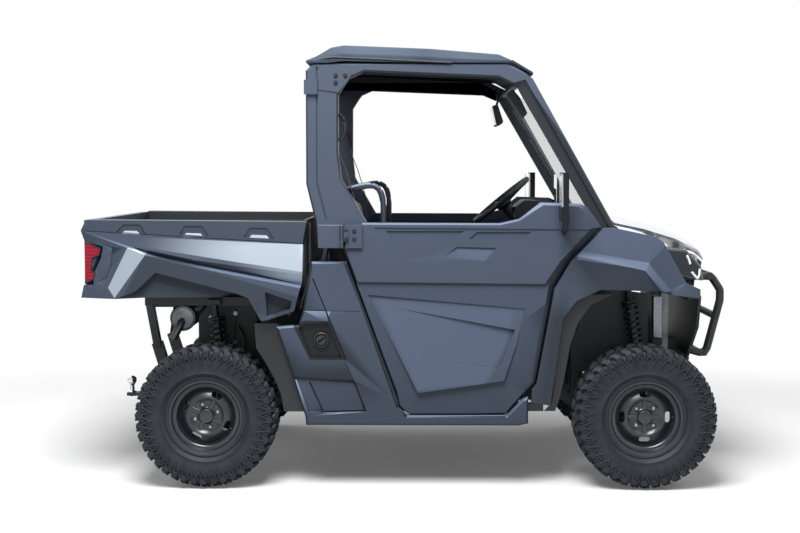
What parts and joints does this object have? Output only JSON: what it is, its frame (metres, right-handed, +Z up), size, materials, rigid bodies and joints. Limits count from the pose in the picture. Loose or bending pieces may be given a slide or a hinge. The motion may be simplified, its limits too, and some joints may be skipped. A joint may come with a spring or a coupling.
{
  "type": "side by side utility vehicle",
  "caption": "Side by side utility vehicle with an open cab under a roll cage, half doors, a tilting cargo bed with a tailgate, and steered front wheels on mud tyres",
  "frame": {"origin": "on the ground under the middle of the vehicle's length and width", "axes": "+X forward, +Y to the vehicle's left, where the driver sits, +Z up"},
  "size_m": [2.99, 1.8, 2.0319],
  "materials": {
    "slate_moulded_panel": "satin moulded blue-grey",
    "black_textured_plastic": "fine grained black",
    "silver_painted_panel": "metallic silver",
    "painted_black_steel": "satin black powder coat",
    "wheel_steel": "satin black",
    "tyre_rubber": "dull black",
    "cast_aluminium": "as cast",
    "bright_steel": "plain",
    "seat_vinyl": "grained black vinyl",
    "windshield_glass": "clear",
    "red_lens": "gloss red",
    "lamp_lens": "clear polycarbonate"
  },
  "bodies": {
    "root": {"frame": "painted_black_steel", "roll_cage": "slate_moulded_panel", "roof": "slate_moulded_panel", "windshield": "windshield_glass", "cab_tub": "black_textured_plastic", "dashboard": "black_textured_plastic", "nose": "black_textured_plastic", "bull_bar": "painted_black_steel", "skid_plate": "black_textured_plastic", "radiator": "cast_aluminium", "engine": "cast_aluminium", "muffler": "bright_steel", "hitch": "painted_black_steel", "fuel_cap": "black_textured_plastic", "front_drive": "painted_black_steel", "rear_drive": "painted_black_steel", "hinge_bracket_right": "slate_moulded_panel", "rear_liner_right": "black_textured_plastic", "cab_side_right": "slate_moulded_panel", "front_fender_right": "slate_moulded_panel", "headlight_right": "lamp_lens", "seat_cushion_right": "seat_vinyl", "seat_back_right": "seat_vinyl", "front_arm_right": "painted_black_steel", "rear_arm_right": "painted_black_steel", "front_shock_right": "painted_black_steel", "rear_shock_right": "painted_black_steel", "hinge_bracket_left": "slate_moulded_panel", "rear_liner_left": "black_textured_plastic", "cab_side_left": "slate_moulded_panel", "front_fender_left": "slate_moulded_panel", "headlight_left": "lamp_lens", "seat_cushion_left": "seat_vinyl", "seat_back_left": "seat_vinyl", "front_arm_left": "painted_black_steel", "rear_arm_left": "painted_black_steel", "front_shock_left": "painted_black_steel", "rear_shock_left": "painted_black_steel"},
    "hood": {"hood": "silver_painted_panel"},
    "steering_wheel": {"steering_wheel": "black_textured_plastic"},
    "bed": {"bed": "black_textured_plastic", "bed_side_right": "slate_moulded_panel", "bed_side_left": "slate_moulded_panel", "tail_lamp_right": "red_lens", "tail_lamp_left": "red_lens"},
    "tailgate": {"tailgate": "slate_moulded_panel"},
    "door_right": {"door_right": "slate_moulded_panel"},
    "knuckle_right": {"knuckle_right": "painted_black_steel"},
    "front_wheel_right": {"front_tyre_right": "tyre_rubber", "front_rim_right": "wheel_steel"},
    "rear_wheel_right": {"rear_tyre_right": "tyre_rubber", "rear_rim_right": "wheel_steel"},
    "door_left": {"door_left": "slate_moulded_panel"},
    "knuckle_left": {"knuckle_left": "painted_black_steel"},
    "front_wheel_left": {"front_tyre_left": "tyre_rubber", "front_rim_left": "wheel_steel"},
    "rear_wheel_left": {"rear_tyre_left": "tyre_rubber", "rear_rim_left": "wheel_steel"}
  },
  "joints": [
    {"name": "steer_right", "type": "hinge", "parent": "root", "child": "knuckle_right", "pos_m": [1.078, -0.62, 0.32759], "axis": [0, 0, 1], "range_deg": [-30, 30]},
    {"name": "front_wheel_spin_right", "type": "hinge", "parent": "knuckle_right", "child": "front_wheel_right", "pos_m": [1.078, -0.665, 0.32759], "axis": [0, 1, 0], "continuous": true},
    {"name": "rear_wheel_spin_right", "type": "hinge", "parent": "root", "child": "rear_wheel_right", "pos_m": [-0.926, -0.645, 0.32759], "axis": [0, 1, 0], "continuous": true},
    {"name": "door_swing_right", "type": "hinge", "parent": "root", "child": "door_right", "pos_m": [-0.3, -0.765, 1.1515], "axis": [0, 0, 1], "range_deg": [-68, 0]},
    {"name": "steer_left", "type": "hinge", "parent": "root", "child": "knuckle_left", "pos_m": [1.078, 0.62, 0.32759], "axis": [0, 0, 1], "range_deg": [-30, 30]},
    {"name": "front_wheel_spin_left", "type": "hinge", "parent": "knuckle_left", "child": "front_wheel_left", "pos_m": [1.078, 0.665, 0.32759], "axis": [0, 1, 0], "continuous": true},
    {"name": "rear_wheel_spin_left", "type": "hinge", "parent": "root", "child": "rear_wheel_left", "pos_m": [-0.926, 0.645, 0.32759], "axis": [0, 1, 0], "continuous": true},
    {"name": "door_swing_left", "type": "hinge", "parent": "root", "child": "door_left", "pos_m": [-0.3, 0.765, 1.1515], "axis": [0, 0, 1], "range_deg": [0, 68]},
    {"name": "steering_turn", "type": "hinge", "parent": "root", "child": "steering_wheel", "pos_m": [0.484, 0.35, 1.293], "axis": [-0.6361, 0, 0.7716], "range_deg": [-270, 270]},
    {"name": "hood_lift", "type": "hinge", "parent": "root", "child": "hood", "pos_m": [0.962, 0, 1.205], "axis": [0, -1, 0], "range_deg": [0, 50]},
    {"name": "bed_tilt", "type": "hinge", "parent": "root", "child": "bed", "pos_m": [-1.2, 0, 0.862], "axis": [0, -1, 0], "range_deg": [0, 45]},
    {"name": "tailgate_drop", "type": "hinge", "parent": "bed", "child": "tailgate", "pos_m": [-1.47, 0, 0.924], "axis": [0, -1, 0], "range_deg": [0, 90]}
  ],
  "couplings": [
    {"joint": "steer_left", "follows": "steer_right", "ratio": 1},
    {"joint": "steering_turn", "follows": "steer_right", "ratio": 9}
  ]
}
